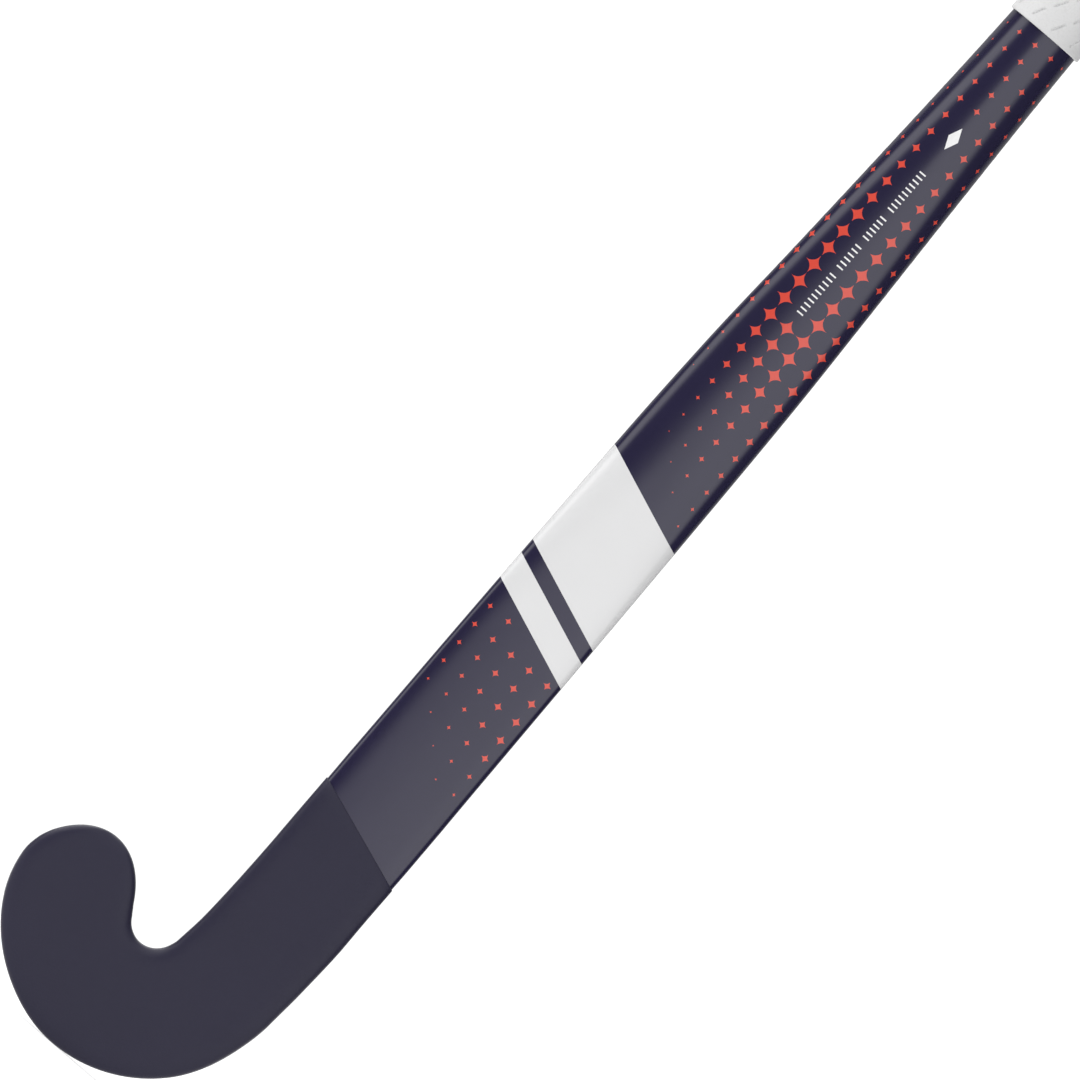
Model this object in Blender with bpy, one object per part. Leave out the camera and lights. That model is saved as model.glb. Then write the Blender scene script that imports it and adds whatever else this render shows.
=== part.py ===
"""A composite field hockey stick, built upright from the separate pieces that the real one is made of.

The frame: +Z runs up the handle, the flat playing face looks to -Y and the toe points to -X. The origin is
on the handle's axis, where the upper hand holds it. The driving sizes below are in millimetres. A height is
measured up from the bottom of the head, and an inset is measured inwards from the bare stick's surface, so
that a negative inset lies outside it.
"""

import math

import bmesh
import bpy

MM = 0.001

# The whole stick
STICK_LENGTH = 927.0
HAND_HEIGHT = 807.0  # the upper hand's place, which is the origin
FIT_GAP = 0.3  # clearance between neighbouring pieces

# The laminate shell
WALL = 2.6
SHELL_TOP = 923.4
BOW = 20.0  # how far the face is hollowed between the head and the handle
BOW_START, BOW_PEAK, BOW_END = 70.0, 270.0, 720.0
COAT_STEP = 0.8  # how far the head is rebated for the coat
COAT_STEP_START, COAT_STEP_END = 110.0, 155.0  # heights over which the rebate runs out

# The straight part's outline: height, x of the toe-side edge, x of the heel-side edge
SHAFT_OUTLINE = (
    (60.0, -25.3, 21.9),
    (75.0, -23.6, 23.1),
    (100.0, -22.8, 24.1),
    (125.0, -22.7, 24.1),
    (160.0, -22.4, 23.5),
    (220.0, -22.5, 22.9),
    (314.0, -22.3, 21.9),
    (360.0, -21.5, 21.1),
    (410.0, -19.3, 19.3),
    (460.0, -17.3, 17.3),
    (520.0, -15.3, 15.3),
    (570.0, -14.4, 14.4),
    (620.0, -14.3, 14.3),
    (927.0, -14.3, 14.3),
)
# The bend's outline round its centre: degrees below the heel side, radius to the crook, radius to the bottom
HOOK_CENTRE = (-36.0, 60.0)
HOOK_OUTLINE = (
    (0.0, 10.7, 57.9),
    (15.0, 10.2, 57.3),
    (45.0, 9.85, 58.9),
    (90.0, 9.55, 60.0),
    (120.0, 9.25, 58.9),
    (150.0, 9.15, 58.3),
    (168.0, 9.8, 56.8),
    (176.0, 10.5, 54.65),
    (180.0, 10.95, 52.95),
)
# The toe's round end is the top of an ellipse, from the level of the bend's centre
TOE_CENTRE = (-68.0, 33.4)
TOE_HALF_WIDTH, TOE_RISE = 27.4, 41.5
TOE_EDGE_ROUNDNESS = 4.0  # how late the face turns away towards the toe's tip

# The cross-section: height, flat share of the face, roundness of its edges, depth in front of the widest
# line, depth behind it
SECTIONS = (
    (60.0, 0.5, 4.4, 6.0, 16.0),
    (220.0, 0.5, 4.4, 6.0, 16.0),
    (314.0, 0.0, 2.7, 10.2, 12.3),
    (390.0, 0.0, 2.3, 9.7, 13.0),
    (431.0, 0.0, 2.2, 11.0, 12.6),
    (489.0, 0.0, 2.0, 13.7, 13.8),
    (529.0, 0.0, 2.0, 15.0, 14.7),
    (570.0, 0.0, 2.0, 14.6, 14.4),
    (927.0, 0.0, 2.0, 14.6, 14.4),
)
HANDLE_FRONT_DEPTH = 14.6  # so the handle's axis is this far behind the plane of the head's face

# Inside the head
PLY = 0.7  # thickness of a reinforcing patch
PATCH_INSET = WALL + FIT_GAP
CORE_INSET = PATCH_INSET + PLY + FIT_GAP
CORE_TOP = 150.0
STOP_BOTTOM, STOP_TOP = CORE_TOP + FIT_GAP, 168.0

# Inside the shaft and the handle
TUBE_WALL = 0.9
TUBE_BOTTOM, TUBE_TOP = STOP_TOP + FIT_GAP, 621.7
FOAM_BOTTOM, FOAM_TOP = TUBE_TOP + FIT_GAP, 889.7
PLUG_BOTTOM = FOAM_TOP + FIT_GAP

# The matte coat on the head, whose upper edge slants down to the heel side
COAT_THICKNESS = COAT_STEP - FIT_GAP
COAT_EDGE = 135.6  # height of the upper edge on the stick's centre line
COAT_SLOPE = 0.355

# The grip and the butt
COLLAR_BOTTOM, COLLAR_TOP = 532.5, 557.5
COLLAR_THICKNESS = 1.05
GRIP_BOTTOM, GRIP_TOP = COLLAR_TOP + FIT_GAP, 903.0
UNDERLAY_THICKNESS = 0.5
STRIP_INSET = -(2 * FIT_GAP + UNDERLAY_THICKNESS)
STRIP_WIDTH = 25.0
STRIP_THIN, STRIP_THICK = 0.8, 1.3  # at a turn's lower and upper edges, as the turns lap over each other
STRIP_TIP = 0.8  # width at which the strip's tapered ends are cut off
CAP_BOTTOM = GRIP_TOP + FIT_GAP
CAP_THICKNESS = 2.0
CAP_ROUNDING = 1.6

# How finely the pieces are divided
RING_STEP = 15  # degrees round the section
HOOK_STEP = 10.0  # degrees round the bend
TOE_CUTS = 5
SHAFT_HEIGHTS = (
    60, 78, 97, 116, 135, 150, 168, 190, 212, 234, 256, 278, 300, 322, 346, 372,
    400, 430, 460, 490, 520, 557, 590, 622, 655, 690, 725, 807, 890, 927,
)
STRIP_STEPS_PER_TURN = 360 // RING_STEP

FULL_RING = range(0, 360, RING_STEP)


def ease(value):
    """0 to 1 with a level start and a level end."""
    value = min(max(value, 0.0), 1.0)
    return value * value * (3 - 2 * value)


def smooth_table(table, at, column):
    """A column of a table at a value of its first column, on a smooth curve that never overshoots a row."""
    at = min(max(at, table[0][0]), table[-1][0])
    row = 0
    while row < len(table) - 2 and at > table[row + 1][0]:
        row += 1

    def secant(index):
        return (table[index + 1][column] - table[index][column]) / (table[index + 1][0] - table[index][0])

    def slope(index):
        if index == 0 or index == len(table) - 1:
            return secant(min(index, len(table) - 2))
        before, after = secant(index - 1), secant(index)
        if before * after <= 0:
            return 0.0
        return 2 * before * after / (before + after)

    span = table[row + 1][0] - table[row][0]
    part = (at - table[row][0]) / span
    start, end = table[row][column], table[row + 1][column]
    return (
        start
        + (end - start) * ease(part)
        + slope(row) * span * part * (1 - part) ** 2
        - slope(row + 1) * span * part * part * (1 - part)
    )


def face_depth(height):
    """How far the bow sets the face back behind the plane of the head."""
    if height < BOW_PEAK:
        return BOW * ease((height - BOW_START) / (BOW_PEAK - BOW_START))
    return BOW * ease((BOW_END - height) / (BOW_END - BOW_PEAK))


def rebate(height):
    """How far the shell lies below the stick's outline, to make room for the coat."""
    run = (COAT_STEP_END - height) / (COAT_STEP_END - COAT_STEP_START)
    return COAT_STEP * min(max(run, 0.0), 1.0)


class Cut:
    """One cross-section: its two edges as x and height, and how deep it is in front and behind."""

    def __init__(self, toe_edge, heel_edge, height, inset, front_share=1.0, back_share=1.0):
        self.toe_edge = toe_edge
        self.heel_edge = heel_edge
        self.flat = smooth_table(SECTIONS, height, 1)
        self.roundness = smooth_table(SECTIONS, height, 2)
        front = smooth_table(SECTIONS, height, 3)
        self.middle = face_depth(height) + front - HANDLE_FRONT_DEPTH
        self.front = (front - inset) * front_share
        self.back = (smooth_table(SECTIONS, height, 4) - inset) * back_share

    def depth(self, across):
        """Depths of the front and of the back at a share of the half width, from -1 to 1."""
        edge = max(0.0, (abs(across) - self.flat) / (1 - self.flat))
        front = max(0.0, 1 - edge**self.roundness) ** (1 / self.roundness)
        back = math.sqrt(max(0.0, 1 - across * across))
        return self.middle - self.front * front, self.middle + self.back * back

    def place(self, across, depth):
        """A point in space at a share of the half width and a depth."""
        share = (1 + across) / 2
        x = self.toe_edge[0] + (self.heel_edge[0] - self.toe_edge[0]) * share
        height = self.toe_edge[1] + (self.heel_edge[1] - self.toe_edge[1]) * share
        return (x * MM, depth * MM, (height - HAND_HEIGHT) * MM)

    def point(self, degrees):
        """A point on the section: 0 is the heel-side edge, 90 the back, 180 the toe-side edge."""
        across = math.cos(math.radians(degrees))
        front, back = self.depth(across)
        return self.place(across, back if 0 < degrees % 360 < 180 else front)


def shaft_cut(height, inset):
    """The level section at a height above the bend."""
    inset += rebate(height)
    toe_x = smooth_table(SHAFT_OUTLINE, height, 1) + inset
    heel_x = smooth_table(SHAFT_OUTLINE, height, 2) - inset
    return Cut((toe_x, height), (heel_x, height), height, inset)


def hook_cut(degrees, inset):
    """The section that stands on a spoke of the bend, counted down from the heel side."""
    inset += COAT_STEP
    inner = smooth_table(HOOK_OUTLINE, degrees, 1) + inset
    outer = smooth_table(HOOK_OUTLINE, degrees, 2) - inset
    spoke = (math.cos(math.radians(degrees)), -math.sin(math.radians(degrees)))
    crook = (HOOK_CENTRE[0] + inner * spoke[0], HOOK_CENTRE[1] + inner * spoke[1])
    bottom = (HOOK_CENTRE[0] + outer * spoke[0], HOOK_CENTRE[1] + outer * spoke[1])
    return Cut(crook, bottom, 0.0, inset)


def toe_cut(share, inset):
    """The section across the toe's end, at a share of the way from the bend to the tip."""
    inset += COAT_STEP
    rise, half_width = TOE_RISE - inset, TOE_HALF_WIDTH - inset
    first = HOOK_CENTRE[1] - TOE_CENTRE[1]
    height = first + (rise - first) * share
    half = half_width * math.sqrt(max(0.0, 1 - (height / rise) ** 2))
    level = TOE_CENTRE[1] + height
    front_share = max(0.0, 1 - share**TOE_EDGE_ROUNDNESS) ** (1 / TOE_EDGE_ROUNDNESS)
    back_share = math.sqrt(max(0.0, 1 - share * share))
    inner, outer = (TOE_CENTRE[0] + half, level), (TOE_CENTRE[0] - half, level)
    return Cut(inner, outer, 0.0, inset, front_share, back_share)


def toe_cuts(inset):
    """From just below the tip down to the bend."""
    turns = [math.radians(90 * (index / (TOE_CUTS + 1))) for index in range(TOE_CUTS, 0, -1)]
    return [toe_cut(math.sin(turn), inset) for turn in turns]


def hook_cuts(inset, first=180.0):
    """From the toe side of the bend round to its heel side."""
    count = round(first / HOOK_STEP)
    return [hook_cut(first * (count - index) / count, inset) for index in range(count)]


def shaft_cuts(inset, bottom, top):
    """Up the straight part, at the shared heights and at both ends."""
    between = [height for height in SHAFT_HEIGHTS if bottom + 1 < height < top - 1]
    return [shaft_cut(height, inset) for height in (bottom, *between, top)]


def rings(cuts, angles=FULL_RING):
    return [[cut.point(angle) for angle in angles] for cut in cuts]


# Building meshes


def add_loops(bm, loops):
    return [[bm.verts.new(point) for point in loop] for loop in loops]


def add_skin(bm, loops, closed=True):
    """Triangles between neighbouring loops, always split along the same diagonal."""
    for lower, upper in zip(loops, loops[1:]):
        last = len(lower) if closed else len(lower) - 1
        for index in range(last):
            after = (index + 1) % len(lower)
            bm.faces.new((lower[index], lower[after], upper[after]))
            bm.faces.new((lower[index], upper[after], upper[index]))


def add_tip(bm, loop, point):
    """A pointed end on a loop."""
    tip = bm.verts.new(point)
    for index in range(len(loop)):
        bm.faces.new((loop[index], loop[(index + 1) % len(loop)], tip))


def finish(name, bm, material, sharp_degrees=40):
    """The named object of a mesh that has been built."""
    bmesh.ops.recalc_face_normals(bm, faces=bm.faces)
    mesh = bpy.data.meshes.new(name)
    bm.to_mesh(mesh)
    bm.free()
    mesh.shade_smooth()
    mesh.set_sharp_from_angle(angle=math.radians(sharp_degrees))
    mesh.materials.append(material)
    piece = bpy.data.objects.new(name, mesh)
    bpy.context.scene.collection.objects.link(piece)
    return piece


def solid(name, loops, material, tip=None):
    """A filled piece through its loops, with a tip or a flat end first and a flat end last."""
    bm = bmesh.new()
    made = add_loops(bm, loops)
    add_skin(bm, made)
    if tip is None:
        bm.faces.new(made[0])
    else:
        add_tip(bm, made[0], tip)
    bm.faces.new(made[-1])
    return finish(name, bm, material)


def sleeve(name, outer, inner, material):
    """A tube, open at both ends."""
    bm = bmesh.new()
    outside, inside = add_loops(bm, outer), add_loops(bm, inner)
    add_skin(bm, outside)
    add_skin(bm, inside)
    add_skin(bm, [outside[0], inside[0]])
    add_skin(bm, [outside[-1], inside[-1]])
    return finish(name, bm, material)


def sock(name, outer, outer_tip, inner, inner_tip, material):
    """A hollow piece that is shut at the toe and open at its upper end."""
    bm = bmesh.new()
    outside, inside = add_loops(bm, outer), add_loops(bm, inner)
    add_skin(bm, outside)
    add_skin(bm, inside)
    add_tip(bm, outside[0], outer_tip)
    add_tip(bm, inside[0], inner_tip)
    add_skin(bm, [outside[-1], inside[-1]])
    return finish(name, bm, material)


def sheet(name, outer, inner, material):
    """A thin patch between two layers that have the same rows."""
    bm = bmesh.new()
    outside, inside = add_loops(bm, outer), add_loops(bm, inner)
    add_skin(bm, outside, closed=False)
    add_skin(bm, inside, closed=False)
    for column in (0, -1):
        edges = [[row[column] for row in layer] for layer in (outside, inside)]
        add_skin(bm, edges, closed=False)
    for row in (0, -1):
        add_skin(bm, [outside[row], inside[row]], closed=False)
    return finish(name, bm, material)


def new_material(name, colour, roughness, metallic=0.0):
    made = bpy.data.materials.new(name)
    made.use_nodes = True
    shader = made.node_tree.nodes["Principled BSDF"]
    shader.inputs["Base Color"].default_value = (*colour, 1.0)
    shader.inputs["Roughness"].default_value = roughness
    shader.inputs["Metallic"].default_value = metallic
    return made


def toe_tip(inset):
    cut = toe_cut(1.0, inset)
    return cut.place(0.0, cut.middle)


# The pieces


def build_shell():
    """The one-piece laminate, hollow from the toe to the open butt."""
    outer = toe_cuts(0) + hook_cuts(0) + shaft_cuts(0, HOOK_CENTRE[1], SHELL_TOP)
    inner = toe_cuts(WALL) + hook_cuts(WALL) + shaft_cuts(WALL, HOOK_CENTRE[1], SHELL_TOP)
    lacquer = new_material("lacquered_laminate", (0.024, 0.021, 0.051), 0.12)
    return sock("stick_shell", rings(outer), toe_tip(0), rings(inner), toe_tip(WALL), lacquer)


def build_head_core():
    """The foam that fills the head."""
    cuts = toe_cuts(CORE_INSET) + hook_cuts(CORE_INSET)
    cuts += shaft_cuts(CORE_INSET, HOOK_CENTRE[1], CORE_TOP)
    foam = new_material("core_foam", (0.62, 0.50, 0.32), 0.8)
    return solid("head_core", rings(cuts), foam, toe_tip(CORE_INSET))


def build_patch(name, angles, toe_degrees, top, colour):
    """A reinforcing ply between the shell and the head's core."""

    def layer(inset):
        return rings(hook_cuts(inset, toe_degrees) + shaft_cuts(inset, HOOK_CENTRE[1], top), angles)

    ply = new_material(name + "_ply", colour, 0.6)
    return sheet(name, layer(PATCH_INSET), layer(PATCH_INSET + PLY), ply)


def build_patches():
    """Glass cloth behind the face, and aramid round the bottom and in the crook."""
    aramid = (0.66, 0.52, 0.16)
    glass = (0.70, 0.72, 0.68)
    build_patch("face_patch", range(225, 316, RING_STEP), 160.0, 135, glass)
    build_patch("heel_patch", range(-30, 121, RING_STEP), 160.0, 116, aramid)
    build_patch("crook_patch", range(135, 211, RING_STEP), 150.0, 97, aramid)


def build_foam_stop():
    """The plug that keeps the core's foam out of the hollow shaft."""
    cuts = shaft_cuts(WALL + FIT_GAP, STOP_BOTTOM, STOP_TOP)
    foam = new_material("stop_foam", (0.16, 0.15, 0.16), 0.9)
    return solid("foam_stop", rings(cuts), foam)


def half_ring(cut, side, web):
    """Half of a section, cut off by the web: side is 1 towards the heel and -1 towards the toe."""
    half_width = (cut.heel_edge[0] - cut.toe_edge[0]) / 2
    start = web / half_width
    turns = [math.radians(angle) for angle in range(0, 91, RING_STEP)]
    shares = [start + (1 - start) * math.sin(turn) for turn in turns]
    front = [cut.place(side * share, cut.depth(share)[0]) for share in shares]
    back = [cut.place(side * share, cut.depth(share)[1]) for share in reversed(shares[:-1])]
    return front + back


def build_tube(name, side):
    """One of the two inner laminate tubes, which meet along the middle as the shaft's web."""
    outside, inside = WALL + FIT_GAP, WALL + FIT_GAP + TUBE_WALL
    outer = [half_ring(cut, side, FIT_GAP / 2) for cut in shaft_cuts(outside, TUBE_BOTTOM, TUBE_TOP)]
    web = FIT_GAP / 2 + TUBE_WALL
    inner = [half_ring(cut, side, web) for cut in shaft_cuts(inside, TUBE_BOTTOM, TUBE_TOP)]
    weave = new_material(name + "_weave", (0.03, 0.03, 0.035), 0.45)
    return sleeve(name, outer, inner, weave)


def build_handle_foam():
    """The foam that fills the handle."""
    cuts = shaft_cuts(WALL + FIT_GAP, FOAM_BOTTOM, FOAM_TOP)
    foam = new_material("handle_filler", (0.70, 0.62, 0.42), 0.85)
    return solid("handle_foam", rings(cuts), foam)


def build_butt_plug():
    """The hard plug in the mouth of the shell."""
    cuts = shaft_cuts(WALL + FIT_GAP, PLUG_BOTTOM, SHELL_TOP)
    plastic = new_material("plug_plastic", (0.05, 0.05, 0.055), 0.5)
    return solid("butt_plug", rings(cuts), plastic)


def build_head_coat():
    """The matte skin over the head, with its slanting upper edge."""

    def layer(inset):
        straight = rings(shaft_cuts(inset, HOOK_CENTRE[1], 97))
        slanted = []
        for height, slant in ((113.0, 0.5), (COAT_EDGE, 1.0)):
            level = shaft_cut(height, inset)
            loop = []
            for angle in FULL_RING:
                x = level.point(angle)[0] / MM
                loop.append(shaft_cut(height - slant * COAT_SLOPE * x, inset).point(angle))
            slanted.append(loop)
        return rings(toe_cuts(inset) + hook_cuts(inset)) + straight + slanted

    inside, outside = -FIT_GAP, -FIT_GAP - COAT_THICKNESS
    matte = new_material("matte_coat", (0.044, 0.042, 0.063), 0.6)
    return sock(
        "head_coat", layer(outside), toe_tip(outside), layer(inside), toe_tip(inside), matte
    )


def build_band(name, bottom, top, thickness, made):
    """A plain band round the handle."""
    outer = rings(shaft_cuts(-FIT_GAP - thickness, bottom, top))
    inner = rings(shaft_cuts(-FIT_GAP, bottom, top))
    return sleeve(name, outer, inner, made)


def build_grip_strip():
    """The grip's strip, wound up the handle, with both ends tapered to level edges."""
    pitch = STRIP_WIDTH + FIT_GAP
    rise = pitch / STRIP_STEPS_PER_TURN
    middle = GRIP_BOTTOM + STRIP_TIP - STRIP_WIDTH / 2
    step_degrees = 360 / STRIP_STEPS_PER_TURN
    loops = []
    while middle + STRIP_WIDTH / 2 < GRIP_TOP + STRIP_WIDTH - STRIP_TIP:
        low = max(middle - STRIP_WIDTH / 2, GRIP_BOTTOM)
        high = min(middle + STRIP_WIDTH / 2, GRIP_TOP)
        angle = -len(loops) * step_degrees
        corners = (
            (low, STRIP_INSET),
            (low, STRIP_INSET - STRIP_THIN),
            (high, STRIP_INSET - STRIP_THICK),
            (high, STRIP_INSET),
        )
        loops.append([shaft_cut(height, inset).point(angle) for height, inset in corners])
        middle += rise
    leather = new_material("grip_strip", (0.74, 0.74, 0.74), 0.6)
    return solid("grip_strip", loops, leather)


def build_butt_cap():
    """The soft cap over the butt, with a rounded rim."""
    outer = [shaft_cut(CAP_BOTTOM, -FIT_GAP - CAP_THICKNESS)]
    levels = []
    for turn in (0, 30, 60, 90):
        radians = math.radians(turn)
        level = STICK_LENGTH - CAP_ROUNDING + CAP_ROUNDING * math.sin(radians)
        levels.append((level, CAP_ROUNDING * (1 - math.cos(radians))))
    outer_rings = rings(outer)
    for level, inwards in levels:
        cut = shaft_cut(SHELL_TOP, -FIT_GAP - CAP_THICKNESS + inwards)
        loop = [cut.point(angle) for angle in FULL_RING]
        outer_rings.append([(x, y, (level - HAND_HEIGHT) * MM) for x, y, _ in loop])
    inner_rings = rings([shaft_cut(CAP_BOTTOM, -FIT_GAP), shaft_cut(SHELL_TOP + FIT_GAP, -FIT_GAP)])
    bm = bmesh.new()
    outside, inside = add_loops(bm, outer_rings), add_loops(bm, inner_rings)
    add_skin(bm, outside)
    add_skin(bm, inside)
    add_skin(bm, [outside[0], inside[0]])
    bm.faces.new(outside[-1])
    bm.faces.new(inside[-1])
    return finish("butt_cap", bm, new_material("cap_rubber", (0.04, 0.04, 0.042), 0.7))


for old in list(bpy.data.objects):
    bpy.data.objects.remove(old)

build_shell()
build_head_core()
build_patches()
build_foam_stop()
build_tube("toe_side_tube", -1)
build_tube("heel_side_tube", 1)
build_handle_foam()
build_butt_plug()
build_head_coat()
white = new_material("collar_band", (0.76, 0.76, 0.76), 0.55)
build_band("grip_collar", COLLAR_BOTTOM, COLLAR_TOP, COLLAR_THICKNESS, white)
cushion = new_material("underlay_tape", (0.55, 0.55, 0.53), 0.8)
build_band("grip_underlay", GRIP_BOTTOM, GRIP_TOP, UNDERLAY_THICKNESS, cushion)
build_grip_strip()
build_butt_cap()
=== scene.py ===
"""The looks of a composite field hockey stick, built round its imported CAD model.

The sizes below are in millimetres, and a height is measured up from the bottom of the head, as in
the CAD source. An inset is measured inwards from the bare stick's surface, so that a negative inset
lies outside it. Every point is turned into metres of the shared frame just before it goes into a mesh.
"""

import math

import bmesh
import bpy
import numpy as np
from mathutils import Matrix, Vector


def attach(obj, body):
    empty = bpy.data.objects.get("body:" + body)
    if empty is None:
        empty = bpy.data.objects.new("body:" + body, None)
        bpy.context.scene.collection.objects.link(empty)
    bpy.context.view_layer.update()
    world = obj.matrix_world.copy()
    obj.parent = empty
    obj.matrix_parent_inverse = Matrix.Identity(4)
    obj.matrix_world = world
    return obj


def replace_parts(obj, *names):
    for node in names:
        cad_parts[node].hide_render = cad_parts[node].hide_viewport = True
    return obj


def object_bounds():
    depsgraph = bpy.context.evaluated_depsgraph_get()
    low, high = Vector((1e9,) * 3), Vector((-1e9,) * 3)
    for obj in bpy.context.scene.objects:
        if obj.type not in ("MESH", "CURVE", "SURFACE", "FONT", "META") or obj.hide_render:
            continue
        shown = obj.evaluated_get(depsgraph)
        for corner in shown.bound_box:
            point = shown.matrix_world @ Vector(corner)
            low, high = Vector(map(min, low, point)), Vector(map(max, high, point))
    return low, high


MM = 0.001
HAND_HEIGHT = 807.0  # height of the frame's origin

# The stick's form, as in the CAD
STICK_LENGTH = 927.0
FIT_GAP = 0.3
WALL = 2.6
SHELL_TOP = 923.4
BOW = 20.0
BOW_START, BOW_PEAK, BOW_END = 70.0, 270.0, 720.0
COAT_STEP = 0.8
COAT_STEP_START, COAT_STEP_END = 110.0, 155.0
FACE_CROWN = 0.6  # how much the face falls away towards its edges, where it is flattest
CROWN_START, CROWN_END = 80.0, 150.0  # heights over which the crown sets in, as the head is flat

# Height, x of the toe-side edge, x of the heel-side edge
SHAFT_OUTLINE = (
    (60.0, -25.3, 21.9),
    (75.0, -23.6, 23.1),
    (100.0, -22.8, 24.1),
    (125.0, -22.7, 24.1),
    (160.0, -22.4, 23.5),
    (220.0, -22.5, 22.9),
    (314.0, -22.3, 21.9),
    (360.0, -21.5, 21.1),
    (410.0, -19.3, 19.3),
    (460.0, -17.3, 17.3),
    (520.0, -15.3, 15.3),
    (570.0, -14.4, 14.4),
    (620.0, -14.3, 14.3),
    (927.0, -14.3, 14.3),
)
# Degrees below the heel side, radius to the crook, radius to the bottom
HOOK_CENTRE = (-36.0, 60.0)
HOOK_OUTLINE = (
    (0.0, 10.7, 57.9),
    (15.0, 10.2, 57.3),
    (45.0, 9.85, 58.9),
    (90.0, 9.55, 60.0),
    (120.0, 9.25, 58.9),
    (150.0, 9.15, 58.3),
    (168.0, 9.8, 56.8),
    (176.0, 10.5, 54.65),
    (180.0, 10.95, 52.95),
)
TOE_CENTRE = (-68.0, 33.4)
TOE_HALF_WIDTH, TOE_RISE = 27.4, 41.5
TOE_EDGE_ROUNDNESS = 4.0
# Height, flat share of the face, roundness of its edges, depth in front of the widest line and behind it
SECTIONS = (
    (60.0, 0.5, 4.4, 6.0, 16.0),
    (220.0, 0.5, 4.4, 6.0, 16.0),
    (314.0, 0.0, 2.7, 10.2, 12.3),
    (390.0, 0.0, 2.3, 9.7, 13.0),
    (431.0, 0.0, 2.2, 11.0, 12.6),
    (489.0, 0.0, 2.0, 13.7, 13.8),
    (529.0, 0.0, 2.0, 15.0, 14.7),
    (570.0, 0.0, 2.0, 14.6, 14.4),
    (927.0, 0.0, 2.0, 14.6, 14.4),
)
HANDLE_FRONT_DEPTH = 14.6

# The coat, the grip and the cap, as in the CAD
CONTACT_INSET = -0.02  # the insides of the coat, the collar and the cap stand this far off the stick
COAT_EDGE = 135.6  # height of the coat's upper edge on the centre line
COAT_SLOPE = 0.355  # that edge falls towards the heel side, by this much for each mm across
COAT_THINNING = 0.4  # how much thinner the coat gets towards its upper edge
COAT_LIP = 0.4  # height over which that edge is rounded
COAT_STRAIGHT_TOP = 97.0  # below this height the coat's rings are level, and above it they slant
COAT_SLANT_HEIGHTS = range(103, 132, 7)
COLLAR_BOTTOM, COLLAR_TOP = 532.5, 557.5
COLLAR_INSET = -1.35
GRIP_BOTTOM, GRIP_TOP = 557.8, 903.0
STRIP_INSET = -1.1
STRIP_WIDTH = 25.0
STRIP_THIN, STRIP_THICK = 0.8, 1.3  # at its lower and its upper edge
STRIP_TIP = 0.8  # width that its tapered ends start from
CAP_BOTTOM = GRIP_TOP + FIT_GAP
CAP_INSET = -2.3
CAP_ROUNDING = 1.6

# The print on the shaft
INK = 0.03  # thickness of the printed layer
PRINT_BOTTOM, PRINT_TOP = 150.0, 540.0  # heights between which anything is printed
SKIN_COLUMNS = 500  # steps of the skin's table from the middle of the face to the middle of the back
SKIN_REACH_ROUND, SKIN_REACH_UP = 0.2, 0.7  # how far to each side a normal is measured
BAND_SLOPE = 0.387  # the slanted bands fall towards the heel side, by this much for each mm across
BANDS = ((301.0, 253.5), (247.0, 234.8))  # heights of each band's two edges, on the centre line

# How finely the surfaces are divided
FRONT_POINTS, BACK_POINTS = 36, 28  # from an edge to the middle
SHAFT_STEP, HOOK_STEP, TOE_STEPS = 4.0, 2.0, 18  # millimetres, degrees and a count
INSIDE_STEP = 12.0  # millimetres up the shaft, for surfaces that can't be seen
INSIDE_FINENESS = 0.5  # share of the head's steps that such surfaces get
EDGE_POINTS = 240  # closely spaced, for measuring along a section
ROUND_POINTS = 400  # closely spaced, for measuring round the shaft
SHARP_DEGREES = 40  # edges that turn by more than this are shaded sharp


def ease(value):
    """0 to 1 with a level start and a level end."""
    value = min(max(value, 0.0), 1.0)
    return value * value * (3 - 2 * value)


def smooth_table(table, at, column):
    """A column of a table at a value of its first column, on a curve that never overshoots a row."""
    at = min(max(at, table[0][0]), table[-1][0])
    row = 0
    while row < len(table) - 2 and at > table[row + 1][0]:
        row += 1

    def secant(index):
        return (table[index + 1][column] - table[index][column]) / (table[index + 1][0] - table[index][0])

    def slope(index):
        if index == 0 or index == len(table) - 1:
            return secant(min(index, len(table) - 2))
        before, after = secant(index - 1), secant(index)
        if before * after <= 0:
            return 0.0
        return 2 * before * after / (before + after)

    span = table[row + 1][0] - table[row][0]
    part = (at - table[row][0]) / span
    start, end = table[row][column], table[row + 1][column]
    return (
        start
        + (end - start) * ease(part)
        + slope(row) * span * part * (1 - part) ** 2
        - slope(row + 1) * span * part * part * (1 - part)
    )


def face_depth(height):
    """How far the bow sets the face back behind the plane of the head."""
    if height < BOW_PEAK:
        return BOW * ease((height - BOW_START) / (BOW_PEAK - BOW_START))
    return BOW * ease((BOW_END - height) / (BOW_END - BOW_PEAK))


def rebate(height):
    """How far the shell lies below the stick's outline, to make room for the coat."""
    run = (COAT_STEP_END - height) / (COAT_STEP_END - COAT_STEP_START)
    return COAT_STEP * min(max(run, 0.0), 1.0)


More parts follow.
